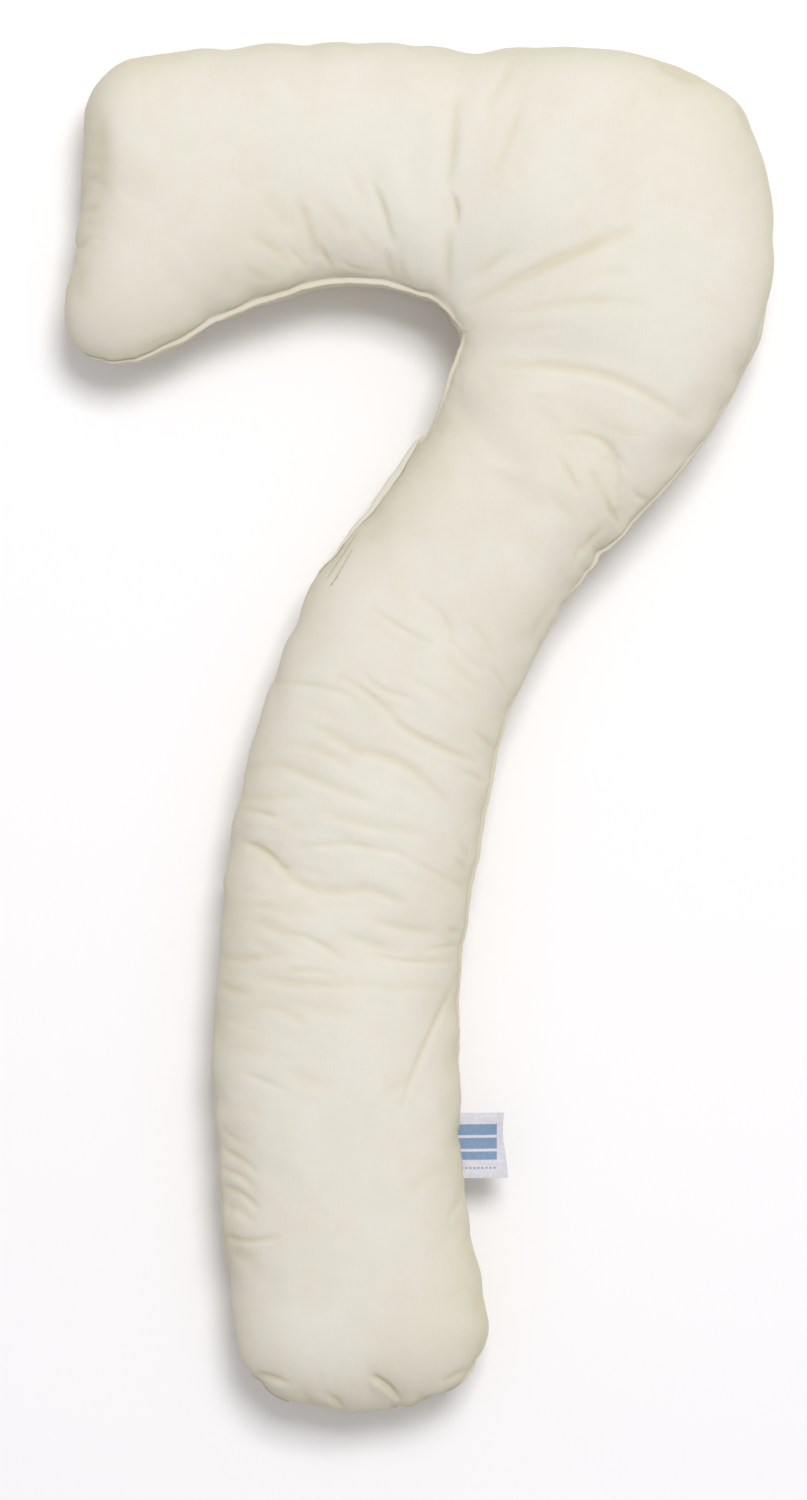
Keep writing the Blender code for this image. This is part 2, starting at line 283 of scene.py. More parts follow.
def seamOrder(thing):
    # the seam's points in order round the pillow
    links = {}
    for edge in thing.data.edges:
        if edge.use_seam:
            first, second = edge.vertices
            links.setdefault(first, []).append(second)
            links.setdefault(second, []).append(first)
    start = min(links)
    order = [start, links[start][0]]
    while len(order) < len(links):
        onward = [index for index in links[order[-1]] if index != order[-2]]
        order.append(onward[0])
    return order


seamPoints = seamOrder(pillow)

seam = {
    "spacing": 0.002,  # between the points of the seam's curve
    "smoothRounds": 40,
    "fineReach": 0.0088,  # the mesh is finest this near to it
    "leastTip": 0.0015,  # the edge stands out from the stitching at least this far
    "stripShare": 0.9,  # length of the cloth across the edge, as a share of its width
    "underReach": 0.005,  # its rounding below the widest place
    "underIn": 0.0030,
    "underRound": 1.5,
    "underDrop": 0.0018,
    "rise": 0.0016,  # how far it rises towards the stitching
    "riseRound": 0.8,
    "topRise": 0.0006,
    "shows": (0.0004, 0.0030),  # the widths from which it starts to show and shows in full
    "underPull": 0.6,  # how far the panel below draws back under the edge
    "stitchDepth": 0.0010,
    "stitchWidth": 0.0016,
    "lineWidth": 0.0011,  # of the line of painted shade along the stitching
    "valleyDepth": 0.0012,
    "valleyWidth": 0.0016,
    "wallFade": 0.019,  # how soon the case swells out again above the edge
    "wallFoot": 0.024,
    "wallStart": 0.0030,  # the case has its own shape again this far above the edge
    "footStart": 0.004,
    "tuckReach": 0.020,
    "puckerPitch": 0.015,
    "puckerDepth": 0.0013,
    "puckerReach": 0.012,
}


class SeamCurve:
    # an even, closed curve along the seam, with its outward directions
    def __init__(self, points):
        closed = np.vstack([points, points[:1]])
        travelled = np.concatenate([[0.0], np.cumsum(np.linalg.norm(np.diff(closed, axis=0), axis=1))])
        self.length = travelled[-1]
        self.count = int(self.length / seam["spacing"])
        self.along = np.arange(self.count) * self.length / self.count
        self.points = np.column_stack([np.interp(self.along, travelled, closed[:, axis])
                                       for axis in range(3)])
        for step in range(seam["smoothRounds"]):
            self.points = (np.roll(self.points, 1, axis=0) + 2 * self.points
                           + np.roll(self.points, -1, axis=0)) / 4
        onward = np.roll(self.points, -4, axis=0) - np.roll(self.points, 4, axis=0)
        x, y = self.points[:, 0], self.points[:, 1]
        turn = np.sign(np.sum(x * np.roll(y, -1) - np.roll(x, -1) * y))
        self.outward = np.column_stack([onward[:, 1], -onward[:, 0]]) * turn
        self.outward /= np.linalg.norm(self.outward, axis=1, keepdims=True)
        self.tree = kdtree.KDTree(self.count)
        for index, point in enumerate(self.points):
            self.tree.insert(Vector(point), index)
        self.tree.balance()

    def nearest(self, points):
        # for each point: index on the curve, distance out from it, height above it, distance off
        index = np.array([self.tree.find(point)[1] for point in points])
        run = points - self.points[index]
        out = np.sum(run[:, :2] * self.outward[index], axis=1)
        return index, out, run[:, 2], np.hypot(out, run[:, 2])

    def indexAt(self, pixelX, pixelY):
        places = photoPlaces(self.points)
        return int(np.argmin(np.hypot(places[:, 0] - pixelX, places[:, 1] - pixelY)))

    def spread(self, marks, name):
        # what the marks say at their pixels, as a value for each point of the curve
        placed = sorted((self.indexAt(mark["x"], mark["y"]), mark[name]) for mark in marks)
        indices, values = np.array(placed, dtype=float).T
        return np.interp(np.arange(self.count), indices, values, period=self.count)


def photoPlaces(points):
    # where the camera above sees each point, in photo pixels
    axisX, axisY = overPhoto(view["imageWidth"] / 2, view["imageHeight"] / 2, view["seamHeight"])
    closer = (view["cameraHeight"] + view["seamHeight"] - points[:, 2]) / view["cameraHeight"]
    x = (axisX + (points[:, 0] - axisX) / closer) / view["metresPerPixel"] + view["middleX"]
    y = view["middleY"] - (axisY + (points[:, 1] - axisY) / closer) / view["metresPerPixel"]
    return np.column_stack([x, y])


def iron(thing):
    # smooths the solid's own folds out of the top panel, keeping its crown
    points = readPoints(thing)
    edges = readEdges(thing)
    once = blur(points, edges, cushion["ironRounds"])
    smooth = once + blur(points - once, edges, cushion["ironRounds"])
    curve = SeamCurve(points[seamPoints])
    height, distance = curve.nearest(points)[2:]
    share = cushion["ironed"] * smoothStep(*cushion["ironBetween"], distance) * (height > 0)
    writePoints(thing, points + share[:, None] * (smooth - points))


iron(pillow)


def inflate(thing):
    # cloth pressure swells the case, and the drawn-in seam throws wrinkles into both panels
    before = readPoints(thing)
    floor = thing.vertex_groups.new(name="floor")
    drawn = thing.vertex_groups.new(name="drawn")
    resting = [int(index) for index in np.nonzero(before[:, 2] < 1.0 * mm)[0]]
    floor.add(resting, 1.0, "REPLACE")
    drawn.add(seamPoints, 1.0, "REPLACE")
    pick(thing)
    modifier = thing.modifiers.new("cloth", "CLOTH")
    settings = modifier.settings
    settings.quality = 6
    settings.mass = 0.2
    settings.tension_stiffness = 20
    settings.compression_stiffness = 20
    settings.shear_stiffness = 6
    settings.bending_stiffness = 0.4
    settings.air_damping = 2
    settings.use_pressure = True
    settings.uniform_pressure_force = cushion["pressure"]
    settings.vertex_group_mass = "floor"
    settings.pin_stiffness = 1
    settings.vertex_group_shrink = "drawn"
    settings.shrink_min = -cushion["panelSpare"]
    settings.shrink_max = cushion["seamShrink"]
    settings.effector_weights.gravity = 0
    modifier.collision_settings.use_collision = False
    modifier.point_cache.frame_end = cushion["frames"]
    scene = bpy.context.scene
    for step in range(1, cushion["frames"] + 1):
        scene.frame_set(step)
    bpy.ops.object.modifier_apply(modifier=modifier.name)
    scene.frame_set(1)
    thing.vertex_groups.clear()
    moved = readPoints(thing) - before
    broad = blur(moved, readEdges(thing), cushion["blurRounds"])
    curve = SeamCurve(before[seamPoints])
    distance = curve.nearest(before)[3]
    nearby = 1 - smoothStep(*cushion["besideSeam"], distance)
    share = cushion["wrinkleShare"] + nearby * (cushion["seamWrinkleShare"] - cushion["wrinkleShare"])
    move = share[:, None] * (moved - broad) + cushion["broadShare"] * broad
    length = np.linalg.norm(move, axis=1, keepdims=True)
    move *= np.minimum(1.0, cushion["largestMove"] / np.maximum(length, 1e-9))
    points = before + move
    points[:, 2] = np.maximum(points[:, 2], 0.0)
    points[resting, 2] = 0.0
    writePoints(thing, points)


inflate(pillow)
say("cushion inflated")


def refine(thing, wanted):
    # cuts the wanted faces in four
    pick(thing)
    thing.data.vertices.foreach_set("select", np.zeros(len(thing.data.vertices), dtype=bool))
    thing.data.edges.foreach_set("select", np.zeros(len(thing.data.edges), dtype=bool))
    thing.data.polygons.foreach_set("select", wanted)
    bpy.ops.object.mode_set(mode="EDIT")
    bpy.ops.mesh.select_mode(type="FACE")
    bpy.ops.mesh.subdivide(number_cuts=1)
    bpy.ops.object.mode_set(mode="OBJECT")


def faceCentres(thing):
    return readRows(thing.data.polygons, "center")


refine(pillow, faceCentres(pillow)[:, 2] > cushion["fineAbove"])
points = readPoints(pillow)
smooth = blur(points, readEdges(pillow), cushion["smoothRounds"])
writePoints(pillow, np.where(points[:, 2:] > cushion["smoothAbove"], smooth, points))
say(f"upper part refined, {len(pillow.data.polygons)} faces")


def outlineReach(curve, points):
    # for each point of the curve: how far the pillow stands out beyond it, seen from above
    index, out, height, distance = curve.nearest(points)
    beside = distance < cushion["sideReach"]
    reach = np.full(curve.count, -cushion["sideReach"])
    np.maximum.at(reach, index[beside], out[beside])
    steps = range(-cushion["outlineSteps"], cushion["outlineSteps"] + 1)
    reach = np.max([np.roll(reach, step) for step in steps], axis=0)
    return np.mean([np.roll(reach, step) for step in steps], axis=0)


def fitOutline(thing):
    # smoothing and stitching drew the outline in, so the sides move back out to the solid's
    points = readPoints(thing)
    curve = SeamCurve(points[seamOrder(thing)])
    solid = readPoints(bpy.data.objects["cushion"])
    missing = outlineReach(curve, solid) - outlineReach(curve, points)
    index, out, height, distance = curve.nearest(points)
    shift = missing[index] * np.exp(-(distance / cushion["sideFade"]) ** 2)
    moved = points.copy()
    moved[:, :2] += curve.outward[index] * shift[:, None]
    writePoints(thing, np.where(points[:, 2:] < 0.1 * mm, points, moved))
    return missing


missing = fitOutline(pillow)
say(f"outline moved by {missing.min() * 1000:.1f} to {missing.max() * 1000:.1f} mm")
seamCurve = SeamCurve(readPoints(pillow)[seamOrder(pillow)])
say(f"seam is {seamCurve.length:.2f} m long")


# Creases of the top panel, read from the photo. Each runs from its start through a
# bend to its end, in photo pixels, and is a soft trough with a low ridge beside it. The half
# width and the depth are in millimetres.

creaseColumns = ("startX", "startY", "bendX", "bendY", "endX", "endY", "halfWidth", "depth")
creases = {
    "arm": [
        (372, 183, 382, 206, 391, 242, 4.0, 1.5), (386, 254, 389, 268, 394, 284, 4.5, 1.3),
        (345, 165, 358, 185, 368, 206, 6.0, 0.8), (358, 228, 369, 244, 379, 256, 5.0, 0.7),
        (297, 200, 308, 225, 314, 256, 4.5, 1.2), (266, 194, 278, 214, 291, 229, 6.0, 0.7),
        (325, 204, 336, 220, 348, 233, 5.5, 0.7), (320, 244, 325, 257, 333, 270, 4.0, 1.3),
        (252, 238, 271, 247, 291, 263, 5.0, 1.2), (292, 251, 300, 260, 306, 269, 4.0, 0.8),
        (245, 264, 256, 275, 271, 281, 5.0, 0.7), (222, 264, 228, 280, 233, 296, 6.0, 0.4),
        (398, 252, 400, 268, 404, 284, 4.5, 1.0), (344, 264, 360, 272, 386, 275, 4.0, 0.7),
        (97, 112, 101, 150, 97, 190, 9.0, 0.9), (86, 211, 92, 209, 98, 206, 5.0, 0.9),
        (76, 251, 81, 246, 87, 241, 3.5, 1.6), (84, 264, 79, 284, 83, 303, 8.0, 0.6),
    ],
    "hook": [
        (456, 100, 453, 145, 448, 184, 5.0, 1.6), (450, 192, 456, 208, 455, 224, 3.8, 1.6),
        (449, 232, 447, 256, 446, 284, 5.0, 1.3), (518, 54, 502, 84, 486, 112, 4.5, 0.8),
        (524, 98, 512, 130, 495, 172, 4.5, 0.9), (518, 158, 519, 170, 520, 184, 5.0, 0.4),
        (628, 231, 552, 262, 472, 304, 6.5, 1.9), (512, 249, 494, 262, 476, 278, 6.0, 1.1),
        (632, 273, 604, 273, 582, 278, 7.0, 0.5), (642, 305, 580, 302, 512, 313, 7.0, 0.8),
        (570, 327, 534, 330, 500, 335, 5.0, 0.4), (498, 366, 600, 374, 686, 420, 5.5, 1.9),
        (530, 395, 542, 398, 556, 403, 4.5, 0.5), (690, 306, 712, 301, 733, 316, 6.0, 0.4),
        (640, 84, 634, 98, 628, 111, 5.0, 0.5), (659, 66, 676, 73, 694, 84, 5.0, 1.4),
        (738, 108, 746, 122, 752, 136, 4.0, 1.4),
    ],
    "neck": [
        (570, 435, 609, 448, 621, 500, 4.0, 1.3), (560, 458, 570, 475, 579, 491, 4.0, 0.9),
        (588, 464, 599, 486, 609, 501, 4.0, 0.8), (607, 499, 612, 512, 619, 523, 3.5, 1.5),
        (600, 424, 622, 432, 646, 435, 4.5, 0.5), (634, 492, 644, 499, 654, 498, 4.0, 1.4),
        (550, 489, 560, 508, 581, 521, 4.5, 0.5), (584, 553, 592, 540, 603, 527, 4.0, 1.1),
        (572, 570, 577, 556, 583, 545, 4.0, 0.7), (531, 640, 541, 622, 556, 600, 5.0, 0.8),
    ],
    "stem": [
        (373, 609, 398, 626, 432, 645, 3.8, 1.0), (420, 598, 444, 618, 452, 644, 4.0, 0.7),
        (450, 640, 466, 656, 482, 672, 3.8, 0.6), (470, 624, 484, 639, 492, 657, 4.0, 0.6),
        (489, 668, 500, 681, 508, 696, 3.6, 0.7), (445, 659, 464, 675, 482, 691, 4.5, 0.7),
        (364, 674, 384, 690, 413, 698, 4.0, 1.0), (410, 679, 434, 691, 457, 708, 4.5, 0.8),
        (340, 678, 372, 697, 402, 727, 4.0, 1.0), (394, 720, 428, 741, 475, 761, 4.2, 2.0),
        (474, 733, 488, 743, 498, 753, 4.0, 1.1), (463, 773, 479, 778, 493, 791, 4.0, 1.2),
        (274, 683, 310, 685, 352, 696, 4.0, 1.0), (305, 704, 326, 711, 347, 722, 5.0, 0.6),
        (308, 724, 340, 740, 364, 756, 4.6, 1.1), (352, 750, 404, 765, 446, 801, 4.8, 1.9),
        (284, 744, 318, 750, 349, 767, 4.5, 1.1), (248, 769, 266, 765, 285, 766, 5.0, 0.9),
        (281, 764, 312, 778, 372, 801, 5.0, 1.5), (239, 799, 266, 797, 302, 796, 5.0, 1.0),
        (322, 809, 362, 823, 424, 833, 5.0, 1.2), (238, 810, 258, 811, 273, 819, 4.2, 1.2),
        (280, 825, 295, 826, 312, 829, 5.0, 0.5), (243, 843, 264, 851, 286, 872, 4.2, 2.1),
        (284, 870, 318, 889, 362, 890, 5.0, 1.7), (356, 888, 382, 894, 406, 904, 4.6, 1.5),
        (298, 848, 352, 845, 404, 855, 4.2, 1.0), (400, 853, 436, 873, 467, 889, 4.0, 0.8),
        (374, 919, 402, 928, 434, 931, 5.0, 1.1), (343, 934, 370, 943, 402, 951, 5.0, 1.1),
        (374, 954, 404, 961, 452, 962, 3.6, 1.0), (254, 924, 276, 930, 296, 936, 5.0, 1.0),
        (298, 934, 322, 945, 343, 960, 3.8, 1.3), (223, 955, 248, 959, 282, 952, 4.6, 1.4),
        (258, 976, 300, 984, 350, 984, 5.0, 1.2), (283, 974, 310, 971, 336, 976, 4.0, 0.8),
        (348, 983, 394, 987, 442, 988, 5.0, 0.7), (260, 905, 284, 907, 312, 913, 6.0, 0.7),
        (219, 984, 234, 990, 250, 993, 4.5, 1.6), (461, 843, 465, 851, 470, 858, 4.0, 1.1),
        (453, 858, 462, 866, 471, 872, 4.0, 0.8), (449, 929, 456, 932, 464, 933, 4.0, 0.9),
        (428, 950, 446, 947, 462, 948, 3.2, 0.9),
    ],
    "foot": [
        (248, 1009, 276, 1009, 303, 1022, 5.0, 1.1), (284, 1002, 316, 1009, 360, 1014, 7.0, 0.6),
        (224, 1020, 236, 1019, 250, 1023, 5.0, 0.8), (230, 1049, 262, 1051, 300, 1062, 5.5, 0.6),
        (243, 1074, 262, 1080, 284, 1090, 4.2, 0.8), (284, 1069, 308, 1079, 334, 1086, 7.0, 0.6),
        (248, 1106, 256, 1112, 266, 1118, 4.5, 0.6), (454, 985, 428, 1038, 401, 1106, 3.6, 1.4),
        (384, 1096, 398, 1086, 414, 1075, 6.0, 0.5), (446, 1164, 426, 1178, 408, 1197, 6.0, 0.5),
        (462, 1198, 451, 1213, 447, 1232, 3.6, 0.6), (222, 1128, 234, 1138, 250, 1144, 4.0, 0.8),
        (220, 1148, 238, 1157, 256, 1172, 3.8, 1.1), (222, 1168, 238, 1175, 254, 1188, 3.8, 1.2),
        (221, 1186, 238, 1192, 256, 1206, 3.8, 1.0), (223, 1205, 236, 1210, 250, 1222, 3.8, 0.8),
        (224, 1234, 246, 1241, 276, 1237, 3.6, 1.7), (228, 1252, 240, 1256, 252, 1262, 4.5, 0.6),
        (478, 1290, 476, 1305, 480, 1322, 6.0, 0.7), (374, 1377, 388, 1387, 402, 1402, 3.6, 3.0),
        (328, 1394, 336, 1401, 344, 1409, 4.0, 1.6), (444, 1381, 460, 1373, 477, 1367, 4.0, 1.8),
        (256, 1374, 270, 1377, 288, 1383, 4.0, 1.8), (300, 1392, 308, 1398, 313, 1406, 4.5, 0.9),
        (418, 1392, 422, 1398, 430, 1402, 4.5, 0.9),
    ],
}
creaseShape = {
    "steps": 14,
    "ridge": 0.40,  # height of the ridge beside a trough, as a share of its depth
    "ridgeOffset": 1.8,  # in half widths
    "ridgeWidth": 1.2,
    "waver": 0.0007,  # how far a crease wanders from its curve
    "waverPitch": 0.040,
    "strength": 1.4,
    "tintWidth": 1.0,  # of the tan shade in a trough, in half widths
    "fullTint": 1.6,  # the depth, in millimetres, that takes the whole shade
    "narrow": 4.2,  # creases up to this half width get a finer mesh
    "fineReach": 0.0060,
    "reach": 5,  # in half widths
    "ridgeSide": (0.45, 0.9),  # the ridge lies to the right and down from the trough
    "roundShare": 0.6,  # the rest of a trough is sharp
    "sharpFall": 1.3,
    "tipInset": 0.06,  # a crease is cut off this share of its length before zero
    "tipFade": 0.7,
    "seamFade": (0.006, 0.026),  # from none to all of it, in distance from the seam
}


def creaseRows():
    # every crease with its curve in photo pixels
    share = np.linspace(0, 1, creaseShape["steps"] + 1)[:, None]
    for group in creases.values():
        for crease in named(creaseColumns, group):
            start = np.array([crease["startX"], crease["startY"]], dtype=float)
            bend = np.array([crease["bendX"], crease["bendY"]], dtype=float)
            end = np.array([crease["endX"], crease["endY"]], dtype=float)
            control = 2 * bend - (start + end) / 2
            line = (1 - share) ** 2 * start + 2 * share * (1 - share) * control + share ** 2 * end
            yield crease, line


def measureCrease(line, places, reach):
    # for the places near a crease: distance from it, side of it and share of its length
    near = np.nonzero((places > line.min(axis=0) - reach).all(axis=1)
                      & (places < line.max(axis=0) + reach).all(axis=1))[0]
    here = places[near]
    best = np.full(len(near), 1e9)
    side = np.zeros(len(near))
    along = np.zeros(len(near))
    for step in range(len(line) - 1):
        base, run = line[step], line[step + 1] - line[step]
        part = np.clip((here - base) @ run / (run @ run), 0, 1)
        offset = here - base - part[:, None] * run
        distance = np.linalg.norm(offset, axis=1)
        closer = distance < best
        best = np.where(closer, distance, best)
        side = np.where(closer, offset @ np.array(creaseShape["ridgeSide"]), side)
        along = np.where(closer, (step + part) / (len(line) - 1), along)
    return near, best, side, along


def nearNarrowCrease(points, above):
    places = photoPlaces(points)
    reach = creaseShape["fineReach"] / view["metresPerPixel"]
    found = np.zeros(len(points), dtype=bool)
    for crease, line in creaseRows():
        if crease["halfWidth"] <= creaseShape["narrow"]:
            near, distance, side, along = measureCrease(line, places, reach)
            found[near[distance < reach]] = True
    return found & above


centres = faceCentres(pillow)
height, distance = seamCurve.nearest(centres)[2:]
refine(pillow, (distance < seam["fineReach"]) | nearNarrowCrease(centres, height > 0))
say(f"creases and seam refined, {len(pillow.data.polygons)} faces")


# Zones of fine wrinkles, all running one way. Angles are down from the photo's right.

wrinkleColumns = ("middleX", "middleY", "reachX", "reachY", "angle", "depth")
wrinkleZones = [
    (275, 880, 70, 150, 14, 0.50),
    (370, 820, 110, 130, 20, 0.22),
    (420, 670, 90, 70, 38, 0.20),
    (600, 480, 60, 80, 62, 0.30),
    (560, 560, 70, 60, 50, 0.22),
    (238, 1170, 30, 120, 36, 0.30),
    (280, 1035, 70, 60, 14, 0.30),
    (330, 245, 110, 50, 62, 0.28),
    (360, 1385, 130, 28, 80, 0.35),
    (150, 80, 90, 40, 80, 0.20),
    (90, 190, 25, 110, 5, 0.25),
    (700, 110, 90, 50, 60, 0.18),
    (545, 300, 110, 60, 160, 0.16),
    (470, 900, 30, 160, 160, 0.22),
]
wrinkleShape = {
    "length": 0.034,
    "pitch": 0.0085,
    "strength": 2.6,
    "ridge": 0.6,
    "edge": (0.35, 1.0),  # a zone fades between these shares of its reach
    "fineShare": 0.5,  # of a second, finer noise
    "fineOnward": 1.7,
    "fineAcross": 2.1,
    "zoneStep": 7.3,  # between the zones' places in the noise
    "fineZoneStep": 3.1,
}


def addWrinkles(points, topness):
    places = photoPlaces(points)
    press = np.zeros(len(points))
    shape = wrinkleShape
    for number, zone in enumerate(named(wrinkleColumns, wrinkleZones)):
        offX = (places[:, 0] - zone["middleX"]) / zone["reachX"]
        offY = (places[:, 1] - zone["middleY"]) / zone["reachY"]
        inside = (1 - smoothStep(*shape["edge"], np.hypot(offX, offY))) * topness
        turn = math.radians(zone["angle"])
        near = np.nonzero(inside > 0)[0]
        local = places[near] * view["metresPerPixel"]
        onward = (local[:, 0] * math.cos(turn) + local[:, 1] * math.sin(turn)) / shape["length"]
        across = (local[:, 1] * math.cos(turn) - local[:, 0] * math.sin(turn)) / shape["pitch"]
        coarse = [noise.noise(Vector((a, b, number * shape["zoneStep"])))
                  for a, b in zip(onward, across)]
        fine = [noise.noise(Vector((a, b, number * shape["fineZoneStep"])))
                for a, b in zip(shape["fineOnward"] * onward, shape["fineAcross"] * across)]
        wave = np.array(coarse) + shape["fineShare"] * np.array(fine)
        press[near] += (shape["strength"] * zone["depth"] * mm * inside[near]
                        * (wave - shape["ridge"] * np.abs(wave)))
    return press


def addCreases(thing, topness):
    # moves the cloth along its normals, and keeps each point's crease depth, as the amount of painted
    # shade for it
    points = readPoints(thing)
    places = photoPlaces(points)
    waver = np.array([noise.noise(Vector((x, y, 0.0)) / creaseShape["waverPitch"])
                      for x, y in points[:, :2]])
    places += (waver * creaseShape["waver"] / view["metresPerPixel"])[:, None]
    press = np.zeros(len(points))
    paintedCreaseShade = np.zeros(len(points))
    shape = creaseShape
    for crease, line in creaseRows():
        halfWidth = crease["halfWidth"] * mm / view["metresPerPixel"]
        near, distance, side, along = measureCrease(line, places, shape["reach"] * halfWidth)
        fade = np.sin(np.pi * (shape["tipInset"] + (1 - 2 * shape["tipInset"]) * along))
        fade **= shape["tipFade"]
        across = distance / halfWidth
        trough = shape["roundShare"] * np.exp(-across ** 2)
        trough += (1 - shape["roundShare"]) * np.exp(-shape["sharpFall"] * across)
        beyond = np.sign(side) * across - shape["ridgeOffset"]
        ridge = shape["ridge"] * np.exp(-(beyond / shape["ridgeWidth"]) ** 2)
        press[near] += crease["depth"] * mm * fade * shape["strength"] * (ridge - trough)
        # painted shade: the crease's depth here, later painted as darker tan
        paintedCreaseShade[near] += crease["depth"] * fade * np.exp(-(across / shape["tintWidth"]) ** 2)
    press = press * topness + addWrinkles(points, topness)
    writePoints(thing, points + readNormals(thing) * press[:, None])
    return paintedCreaseShade * topness


height, distance = seamCurve.nearest(readPoints(pillow))[2:]
topness = np.where(height > 0, smoothStep(*creaseShape["seamFade"], distance), 0.0)
paintedCreaseShade = addCreases(pillow, topness)
say("creases pressed")


# The seam's turned edge, as wide as the photo shows it: a strip between the outline and the
# stitching. The width is in millimetres, and zero where the cloth hides it.

edgeColumns = ("x", "y", "width")
edgeWidths = [
    (66, 318, 0), (72, 345, 1.5), (95, 362, 3.0), (125, 368, 3.5), (165, 353, 4.5), (205, 331, 5.5),
    (270, 300, 6.0), (350, 288, 6.0), (405, 296, 5.0), (440, 312, 3.5), (458, 334, 1.5),
    (459, 350, 3.5), (450, 385, 4.0), (440, 410, 2.5), (432, 428, 2.0), (415, 455, 5.0),
    (400, 478, 7.5), (388, 494, 7.5), (376, 511, 6.0), (362, 525, 4.5), (345, 552, 4.0),
    (328, 583, 3.0), (318, 602, 0), (245, 760, 0), (215, 1000, 0), (222, 1200, 0), (238, 1345, 0),
    (262, 1381, 3.5), (283, 1393, 4.5), (302, 1402, 0), (355, 1412, 0), (387, 1408, 1.5),
    (403, 1403, 4.5), (424, 1399, 0.5), (446, 1389, 3.0), (470, 1374, 4.0), (483, 1350, 0.5),
    (488, 1310, 1.8), (480, 1260, 0.5), (468, 1200, 1.5), (459, 1120, 2.2), (457, 1000, 2.8),
    (461, 930, 2.8), (476, 840, 3.2), (492, 770, 3.2), (510, 712, 2.4), (532, 660, 1.2),
    (562, 618, 0.8), (590, 577, 3.5), (604, 553, 4.5), (640, 521, 3.2), (690, 450, 2.6),
    (735, 380, 2.0), (758, 335, 0.8), (771, 270, 0.8), (773, 200, 1.2), (765, 150, 2.6),
    (747, 115, 2.0), (715, 90, 0.8), (690, 80, 1.6), (657, 66, 1.2), (600, 50, 0), (480, 46, 0.8),
    (380, 45, 1.0), (250, 46, 0.5), (120, 62, 1.0), (88, 95, 0), (78, 200, 0), (68, 290, 0),
]

# Places where the stitching tugs the outline in: pixel, width and depth in millimetres.

tuckColumns = ("x", "y", "width", "depth")
tucks = [
    (76, 252, 6.0, 3.2), (84, 100, 8.0, 1.4), (120, 64, 5.0, 1.4), (150, 56, 6.0, 1.3),
    (186, 52, 7.0, 1.6), (237, 46, 6.0, 1.2), (330, 44, 8.0, 0.8), (478, 50, 10.0, 2.2),
    (570, 50, 9.0, 0.8), (662, 68, 6.0, 2.0), (683, 80, 6.0, 2.0), (735, 100, 8.0, 1.0),
    (757, 345, 7.0, 2.0), (744, 372, 6.0, 1.0), (603, 556, 6.0, 3.6), (590, 576, 5.0, 2.2),
    (566, 612, 8.0, 1.2), (497, 752, 7.0, 1.2), (463, 944, 5.0, 1.2), (456, 1136, 8.0, 1.6),
    (484, 1262, 8.0, 1.0), (479, 1366, 7.0, 1.6), (447, 1389, 6.0, 1.6), (398, 1404, 6.5, 4.6),
    (338, 1408, 6.0, 2.6), (312, 1404, 6.0, 1.4), (262, 1380, 7.0, 2.4), (232, 1318, 9.0, 1.0),
    (221, 1238, 6.0, 2.0), (217, 1168, 6.0, 1.2), (216, 1105, 6.0, 1.4), (215, 985, 7.0, 1.6),
    (219, 930, 6.0, 1.0), (224, 866, 6.0, 1.4), (233, 800, 6.0, 1.0), (244, 758, 7.0, 1.2),
    (262, 700, 8.0, 1.0), (458, 345, 6.0, 1.4), (425, 302, 6.0, 0.9), (300, 292, 9.0, 0.8),
    (130, 368, 6.0, 1.2), (103, 364, 5.0, 1.0), (68, 335, 8.0, 1.0),
]
edgeWidth = seamCurve.spread(named(edgeColumns, edgeWidths), "width") * mm
edgeTip = np.maximum(outlineReach(seamCurve, readPoints(pillow)), seam["leastTip"])


def edgeProfile(width, tip, offset):
    # the turned edge in section: how far out and how high a point lies, from its distance
    # above (or, negative, below) the widest place along the cloth
    up = np.clip(offset / np.maximum(seam["stripShare"] * width, 1e-6), 0, 1)
    down = np.clip(-offset / seam["underReach"], 0, 1)
    out = tip - width * up ** 2 - seam["underIn"] * down ** seam["underRound"]
    high = seam["rise"] * np.sin(up * math.pi / 2) ** seam["riseRound"] + seam["topRise"] * up
    high -= seam["underDrop"] * np.sin(down * math.pi / 2)
    return out, high


seamPuckers = np.array([noise.noise(Vector(point) / seam["puckerPitch"])
                        for point in seamCurve.points])


def tuckDepth(index):
    depth = np.zeros(len(index))
    for tuck in named(tuckColumns, tucks):
        middle = seamCurve.along[seamCurve.indexAt(tuck["x"], tuck["y"])]
        off = np.abs(seamCurve.along[index] - middle)
        off = np.minimum(off, seamCurve.length - off)
        depth += tuck["depth"] * mm * np.exp(-(off / (tuck["width"] * mm)) ** 2)
    return depth


